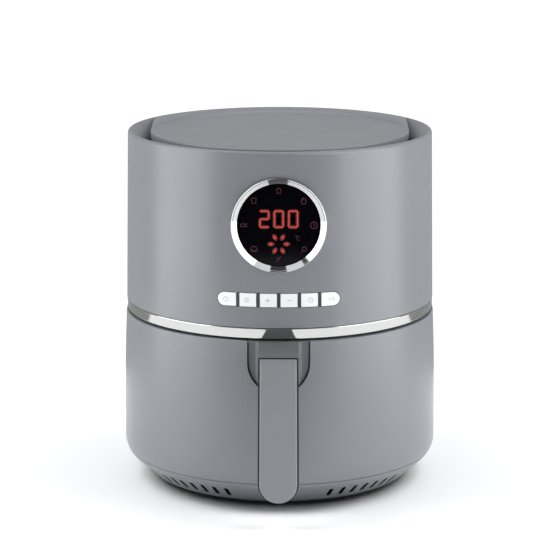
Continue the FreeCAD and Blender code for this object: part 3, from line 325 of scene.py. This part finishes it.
def make_neck_paint():
    """Grey moulding whose front face, which shows as a dark rim round the cap, is painted nearly black:
    painted shade standing in for a shadow gap between cap and moulding.
    """
    paint = moulded("neck_plastic_with_gap_shade", (0.122, 0.124, 0.131), 0.45)
    cap_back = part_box("handle_cap")[1][1]
    # Painted shade: the face just behind the cap is painted near-black in place of the shadow in a gap.
    painted_gap_shade = paint.math("LESS_THAN", paint.axis("Y"), cap_back + 0.4 * MM)
    paint.vary_color(painted_gap_shade, (0.012, 0.012, 0.014), 0.0, 1.0)
    return paint.material


def make_base_paint():
    """Shell plastic outside, and painted shade behind the vent slots: near-black inside the slanted wall."""
    paint = moulded("base_plastic_with_slot_shade", SHELL_COLOR, 0.35)
    across = paint.math("POWER", paint.axis("X"), 2.0)
    along = paint.math("POWER", paint.math("SUBTRACT", paint.axis("Y"), AXIS_Y), 2.0)
    radius = paint.math("SQRT", paint.math("ADD", across, along))
    foot_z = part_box("base_tray")[0][2]
    slant = math.tan(BASE_ANGLE)
    wall = paint.math("MULTIPLY_ADD", paint.axis("Z"), slant, BASE_FOOT_RADIUS - foot_z * slant - BASE_SKIN)
    within_wall = paint.math("LESS_THAN", radius, wall)
    below_top = paint.math("LESS_THAN", paint.axis("Z"), BASE_CONE_TOP)
    # Painted shade: the inside of the slanted wall is painted near-black so that the vent slots read as
    # shaded.
    paint.vary_color(paint.math("MULTIPLY", within_wall, below_top), PAINTED_SLOT_SHADE, 0.0, 1.0)
    return paint.material


def make_chrome_paint(name, color):
    """Plating with faint waves."""
    paint = Paint(name, color, 0.07, 1.0)
    paint.vary_roughness(paint.noise(8 * MM, 4), 0.03)
    paint.bump(paint.noise(12 * MM, 2), 0.01 * MM, 0.3)
    return paint.material


def make_glass_paint():
    paint = Paint("display_glass", (0.0012, 0.0012, 0.0018), 0.06)
    paint.set(Specular_IOR_Level=0.12)
    paint.vary_roughness(paint.noise(10 * MM, 3), 0.02)
    paint.vary_color(paint.noise(4 * MM, 2), (0.002, 0.0016, 0.0026))
    return paint.material


def make_key_paint():
    return moulded("key_plastic", (0.90, 0.90, 0.92), 0.35, 0.4 * MM, 0.01 * MM).material


def make_sheet_paint(name, color, roughness):
    """Rolled sheet metal: a fine directional grain and a slow mottle."""
    paint = Paint(name, color, roughness, 1.0)
    paint.vary_color(paint.noise(9 * MM, 3), scale_color(color, 0.82))
    grain = paint.noise(0.5 * MM, 3, (1.0, 0.08, 1.0))
    paint.vary_roughness(grain, 0.08)
    paint.bump(grain, 0.02 * MM, 0.6)
    return paint.material


def make_nonstick_paint():
    """Black coating with fine pale specks."""
    paint = Paint("nonstick_coating", (0.018, 0.018, 0.02), 0.32)
    paint.vary_color(paint.cells(1.6 * MM), (0.05, 0.05, 0.054), 0.62, 0.75)
    paint.vary_roughness(paint.noise(6 * MM, 4), 0.06)
    paint.bump(paint.noise(0.8 * MM, 3), 0.02 * MM)
    return paint.material


def make_rubber_paint(name, color):
    paint = Paint(name, color, 0.72)
    paint.vary_color(paint.noise(3 * MM, 4), scale_color(color, 1.4))
    paint.bump(paint.noise(0.5 * MM, 3), 0.03 * MM)
    return paint.material


def make_element_paint():
    """Heating tube with the brown tint of heated steel."""
    paint = Paint("element_tube", (0.16, 0.13, 0.12), 0.45, 0.8)
    paint.vary_color(paint.noise(14 * MM, 4), (0.28, 0.20, 0.17))
    paint.bump(paint.noise(0.6 * MM, 3), 0.02 * MM)
    return paint.material


def make_board_paint():
    paint = Paint("circuit_board", (0.02, 0.13, 0.06), 0.35)
    paint.vary_color(paint.cells(3 * MM), (0.05, 0.2, 0.1), 0.3, 0.4)
    paint.bump(paint.cells(2 * MM), 0.02 * MM, 0.5)
    return paint.material


def make_ceramic_paint():
    paint = Paint("ceramic", (0.72, 0.70, 0.62), 0.6)
    paint.vary_color(paint.noise(2 * MM, 3), (0.62, 0.6, 0.54))
    paint.bump(paint.noise(0.3 * MM, 2), 0.01 * MM)
    return paint.material


def make_copper_paint():
    paint = Paint("copper_winding", (0.55, 0.24, 0.10), 0.3, 0.9)
    turns = paint.noise(0.9 * MM, 1, (0.05, 0.05, 1.0))
    paint.vary_color(turns, (0.35, 0.14, 0.06))
    paint.bump(turns, 0.15 * MM)
    return paint.material


def make_glow(name, color):
    """Lit print on the display's glass."""
    paint = Paint(name, (0.0, 0.0, 0.0), 0.5)
    paint.set(Emission_Color=tuple(color) + (1.0,), Emission_Strength=1.0)
    return paint.material


def make_print_paint():
    paint = Paint("key_print", (0.46, 0.46, 0.49), 0.5)
    paint.vary_color(paint.noise(0.8 * MM, 2), (0.52, 0.52, 0.55))
    return paint.material


def dress(material, *names):
    """Give CAD nodes a material."""
    for name in names:
        for slot in nodes[name].material_slots:
            slot.material = material


def dress_nodes():
    shell = make_shell_paint()
    dark = make_dark_paint()
    steel = make_sheet_paint("aluminised_steel", (0.58, 0.58, 0.58), 0.38)
    plated = make_sheet_paint("plated_steel", (0.66, 0.66, 0.65), 0.28)
    dress(shell, "upper_shell", "top_cover", "rear_shell", "drawer_front", "outlet_housing", "handle_cap")
    dress(make_base_paint(), "base_tray")
    dress(make_neck_paint(), "handle_body")
    dress(dark, "intake_grille", "key_frame", "outlet_grille", "base_plate", "drawer_bay", "drawer_liner",
          "glide_strips", "interlock_switch", "interlock_plunger", "cooling_fan", "display_module",
          "terminal_block", "power_components")
    dress(make_chrome_paint("band_chrome", (0.55, 0.55, 0.54)), "chrome_band")
    dress(make_chrome_paint("bezel_chrome", (0.55, 0.55, 0.56)), "display_bezel")
    dress(make_glass_paint(), "display_glass")
    dress(make_key_paint(), *KEY_NODES)
    dress(make_board_paint(), "control_board", "key_board", "power_board")
    dress(steel, "heat_shield", "outer_shield", "motor_deck", "element_clips", "pan_bracket", "hot_air_fan",
          "motor_stator", "motor_rotor")
    dress(plated, "rear_screws", "base_screws", "handle_screws", "motor_standoffs", "lower_bearing_plate",
          "upper_bearing_plate", "motor_shaft", "fan_nut", "element_guard", "temperature_sensor")
    dress(make_element_paint(), "heating_element")
    dress(make_ceramic_paint(), "element_terminals", "thermal_fuse")
    dress(make_copper_paint(), "motor_coil")
    dress(make_nonstick_paint(), "pan", "crisper_grid")
    dress(make_rubber_paint("silicone", (0.035, 0.035, 0.038)), "grid_bumpers")
    dress(make_rubber_paint("foot_rubber", (0.018, 0.018, 0.018)), "rubber_feet", "cord_gland")


# --- flat prints on the glass and the keys --------------------------------------------------
KEY_NODES = ["key_power", "key_program", "key_plus", "key_minus", "key_timer", "key_start"]
PRINT_THICKNESS = 0.04 * MM


def on_glass(u, v, depth):
    """Point on the display's face. u is to the right, v is up, depth stands out of the glass."""
    return Vector((GLASS_MID.x + u, GLASS_FACE_Y - depth, GLASS_MID.z + v))


def on_key(node):
    """Function that places (u, v, depth) on the round face of a key."""
    spot = middle_of(node)
    azimuth = math.atan2(spot.x, AXIS_Y - spot.y)

    def place(u, v, depth):
        angle = azimuth + u / KEY_FACE_RADIUS
        radius = KEY_FACE_RADIUS + depth
        return Vector((radius * math.sin(angle), AXIS_Y - radius * math.cos(angle), spot.z + v))

    return place


def oval(cx, cy, rx, ry, sides=16):
    """Points round an oval."""
    steps = [2 * math.pi * k / sides for k in range(sides)]
    return [(cx + rx * math.cos(a), cy + ry * math.sin(a)) for a in steps]


def stroke(points, width, closed=False):
    """Quads of even width along a line of (u, v) points."""
    count = len(points)
    sides = []
    for index in range(count):
        if closed:
            before, after = points[index - 1], points[(index + 1) % count]
        else:
            before, after = points[max(index - 1, 0)], points[min(index + 1, count - 1)]
        du, dv = after[0] - before[0], after[1] - before[1]
        length = math.hypot(du, dv)
        normal = (-dv / length * width / 2, du / length * width / 2)
        u, v = points[index]
        sides.append(((u + normal[0], v + normal[1]), (u - normal[0], v - normal[1])))
    quads = []
    for index in range(count if closed else count - 1):
        a, b = sides[index], sides[(index + 1) % count]
        quads.append([a[0], a[1], b[1], b[0]])
    return quads


def ring(cx, cy, radius, width, sides=24, start=0.0, sweep=360.0):
    """Open or closed arc of a circle as a stroke."""
    closed = sweep >= 360
    steps = sides if closed else sides + 1
    angles = [math.radians(start + sweep * k / sides) for k in range(steps)]
    line = [(cx + radius * math.cos(a), cy + radius * math.sin(a)) for a in angles]
    return stroke(line, width, closed)


def scaled(outlines, size, cx=0.0, cy=0.0):
    """The outlines made larger by the size, with their origin moved to (cx, cy)."""
    return [[(cx + u * size, cy + v * size) for u, v in outline] for outline in outlines]


def print_piece(name, outlines, place, material, body, depth):
    """Raised flat print: each outline becomes a thin prism on the surface that place() describes."""
    mesh = bpy.data.meshes.new(name)
    shape = bmesh.new()
    for outline in outlines:
        back = [shape.verts.new(place(u, v, depth - PRINT_THICKNESS)) for u, v in outline]
        front = [shape.verts.new(place(u, v, depth)) for u, v in outline]
        shape.faces.new(front)
        shape.faces.new(back[::-1])
        count = len(outline)
        for index in range(count):
            following = (index + 1) % count
            shape.faces.new([back[index], back[following], front[following], front[index]])
    bmesh.ops.recalc_face_normals(shape, faces=shape.faces)
    shape.to_mesh(mesh)
    shape.free()
    mesh.materials.append(material)
    piece = bpy.data.objects.new(name, mesh)
    bpy.context.scene.collection.objects.link(piece)
    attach(piece, body)


# --- lit display ----------------------------------------------------------------------------
# Ends of a digit's seven segments, in half heights and whole widths of the digit.
SEGMENTS = {
    "top": ((0, 1), (1, 1)), "middle": ((0, 0), (1, 0)), "bottom": ((0, -1), (1, -1)),
    "upper_left": ((0, 0), (0, 1)), "upper_right": ((1, 0), (1, 1)),
    "lower_left": ((0, -1), (0, 0)), "lower_right": ((1, -1), (1, 0)),
}
DIGITS = {
    "2": ("top", "upper_right", "middle", "lower_left", "bottom"),
    "0": ("top", "upper_left", "upper_right", "lower_left", "lower_right", "bottom"),
}
DIGIT_WIDTH = 7.0 * MM
DIGIT_HALF = 6.6 * MM
DIGIT_PITCH = 11.7 * MM
DIGIT_RISE = 5.1 * MM

FAN_PETALS = 6
FAN_CIRCLE = 6.4 * MM
FAN_DROP = 15.6 * MM
PETAL_LENGTH = 2.1 * MM
PETAL_WIDTH = 1.35 * MM

ICON_CIRCLE = 28.6 * MM
ICON_SIZE = 2.9 * MM
ICON_LINE = 0.22

# Heights of the lit layers over the glass.
HALO_DEPTH = 0.06 * MM
EDGE_DEPTH = 0.09 * MM
CORE_DEPTH = 0.12 * MM


def segment_bar(segment, left, width, trim):
    """Six-sided bar of a digit's segment, with pointed ends."""
    (u0, v0), (u1, v1) = SEGMENTS[segment]
    a = Vector((left + u0 * DIGIT_WIDTH, DIGIT_RISE + v0 * DIGIT_HALF))
    b = Vector((left + u1 * DIGIT_WIDTH, DIGIT_RISE + v1 * DIGIT_HALF))
    along = (b - a).normalized()
    across = Vector((-along.y, along.x)) * width / 2
    a = a + along * trim
    b = b - along * trim
    tip = along * width / 2
    corners = [a, a + tip - across, b - tip - across, b, b - tip + across, a + tip + across]
    return [(c.x, c.y) for c in corners]


def number_outlines(text, width, trim):
    """Bars of a whole number, centred on the glass."""
    outlines = []
    start = -(len(text) - 1) * DIGIT_PITCH / 2 - DIGIT_WIDTH / 2
    for place, digit in enumerate(text):
        for segment in DIGITS[digit]:
            outlines.append(segment_bar(segment, start + place * DIGIT_PITCH, width, trim))
    return outlines


def petal_outlines(size):
    """Ovals round a point, each one along its own ray: the fan symbol."""
    outlines = []
    for k in range(FAN_PETALS):
        angle = 2 * math.pi * k / FAN_PETALS
        cos, sin = math.cos(angle), math.sin(angle)
        petal = []
        for u, v in oval(FAN_CIRCLE, 0, PETAL_LENGTH * size, PETAL_WIDTH * size):
            petal.append((u * cos - v * sin, u * sin + v * cos - FAN_DROP))
        outlines.append(petal)
    return outlines


# Each icon's function takes the line's width. An icon reaches about one unit from its middle.
def fries_icon(w):
    cup = stroke([(-0.7, 0.1), (-0.5, -0.9), (0.5, -0.9), (0.7, 0.1)], w)
    sticks = stroke([(-0.45, 0.1), (-0.5, 0.8)], w) + stroke([(0, 0.1), (0, 1.0)], w)
    return cup + sticks + stroke([(0.45, 0.1), (0.5, 0.8)], w)


def clock_icon(w):
    return ring(0, 0, 0.95, w) + stroke([(0, 0.6), (0, 0), (0.4, -0.2)], w)


def drumstick_icon(w):
    return ring(0.2, 0.2, 0.6, w) + stroke([(-0.2, -0.3), (-0.75, -0.85)], w)


def carrot_icon(w):
    return stroke([(0.3, 0.5), (-0.7, -0.9), (-0.1, 0.7)], w) + stroke([(0.2, 0.6), (0.7, 1.0)], w)


def burger_icon(w):
    top = ring(0, 0.05, 0.9, w, 12, 0, 180)
    return top + stroke([(-1, -0.2), (1, -0.2)], w) + stroke([(-0.8, -0.55), (0.8, -0.55)], w)


def fish_icon(w):
    body = stroke(oval(-0.15, 0, 0.75, 0.42), w, True)
    return body + stroke([(0.55, 0.05), (1.0, 0.45)], w) + stroke([(0.55, -0.05), (1.0, -0.45)], w)


def toast_icon(w):
    left = [(0, 0.85), (-0.75, 0.6), (-0.6, 0.2)]
    right = [(0.6, 0.2), (0.75, 0.6)]
    return stroke([(-0.6, -0.7), (0.6, -0.7)] + right + left, w, True)


def cake_icon(w):
    cup = stroke([(-0.55, -0.1), (-0.35, -0.85), (0.35, -0.85), (0.55, -0.1)], w)
    return cup + ring(0, 0.0, 0.65, w, 12, 0, 180)


def glass_print(name, outlines, material, depth):
    print_piece(name, outlines, on_glass, material, "housing", depth)


def make_display():
    """Number, fan symbol, ring of program icons and degree mark. The lit ones have three layers."""
    halo = make_glow("led_halo", (0.075, 0.002, 0.002))
    edge = make_glow("led_edge", (0.34, 0.010, 0.006))
    core = make_glow("led_core", (0.72, 0.085, 0.050))
    dim = make_glow("icon_glow", (0.050, 0.005, 0.011))

    digit_layers = (
        (halo, 3.0 * MM, -0.8 * MM, HALO_DEPTH),
        (edge, 1.3 * MM, -0.5 * MM, EDGE_DEPTH),
        (core, 0.55 * MM, -0.25 * MM, CORE_DEPTH),
    )
    for index, (material, width, trim, depth) in enumerate(digit_layers):
        glass_print("digits_%d" % index, number_outlines("200", width, trim), material, depth)

    fan_layers = ((halo, 1.45, HALO_DEPTH), (edge, 1.0, EDGE_DEPTH), (core, 0.4, CORE_DEPTH))
    for index, (material, size, depth) in enumerate(fan_layers):
        glass_print("fan_symbol_%d" % index, petal_outlines(size), material, depth)

    icons = [cake_icon, toast_icon, fish_icon, burger_icon,
             carrot_icon, drumstick_icon, clock_icon, fries_icon]
    for k, icon in enumerate(icons):
        angle = math.pi / 2 + 2 * math.pi * k / len(icons)
        cx = ICON_CIRCLE * math.cos(angle)
        cy = ICON_CIRCLE * math.sin(angle)
        glass_print("program_icon_%d" % k, scaled(icon(ICON_LINE), ICON_SIZE, cx, cy), dim, HALO_DEPTH)

    degree = ring(14.5 * MM, -9.0 * MM, 0.7 * MM, 0.35 * MM, 12)
    unit = ring(16.5 * MM, -11.0 * MM, 1.5 * MM, 0.4 * MM, 12, 60, 240)
    glass_print("degree_mark", degree + unit, dim, HALO_DEPTH)


# --- key prints -----------------------------------------------------------------------------
KEY_SYMBOL_SIZE = 2.4 * MM
KEY_SYMBOL_LINE = 0.22
KEY_PRINT_DEPTH = 0.03 * MM


def power_symbol(w):
    return ring(0, 0, 0.8, w, 20, 120, 300) + stroke([(0, 0.2), (0, 1.0)], w)


def program_symbol(w):
    return [quad for v in (-0.6, 0, 0.6) for quad in stroke([(-0.8, v), (0.8, v)], w)]


def plus_symbol(w):
    return stroke([(-0.8, 0), (0.8, 0)], w) + stroke([(0, -0.8), (0, 0.8)], w)


def minus_symbol(w):
    return stroke([(-0.8, 0), (0.8, 0)], w)


def timer_symbol(w):
    return ring(0, 0, 0.85, w) + stroke([(0, 0.5), (0, 0), (0.45, 0)], w)


def start_symbol(w):
    arrow = stroke([(-0.9, -0.7), (-0.9, 0.7), (0.1, 0)], w, True)
    return arrow + stroke([(0.45, -0.7), (0.45, 0.7)], w) + stroke([(0.85, -0.7), (0.85, 0.7)], w)


def make_key_prints():
    ink = make_print_paint()
    symbols = [power_symbol, program_symbol, plus_symbol, minus_symbol, timer_symbol, start_symbol]
    for node, symbol in zip(KEY_NODES, symbols):
        outlines = scaled(symbol(KEY_SYMBOL_LINE), KEY_SYMBOL_SIZE)
        print_piece(node + "_print", outlines, on_key(node), ink, node, KEY_PRINT_DEPTH)


# --- scene ----------------------------------------------------------------------------------
bpy.context.scene.view_settings.view_transform = "Standard"
make_camera()
make_world()
make_lights(make_floor())
dress_nodes()
make_display()
make_key_prints()
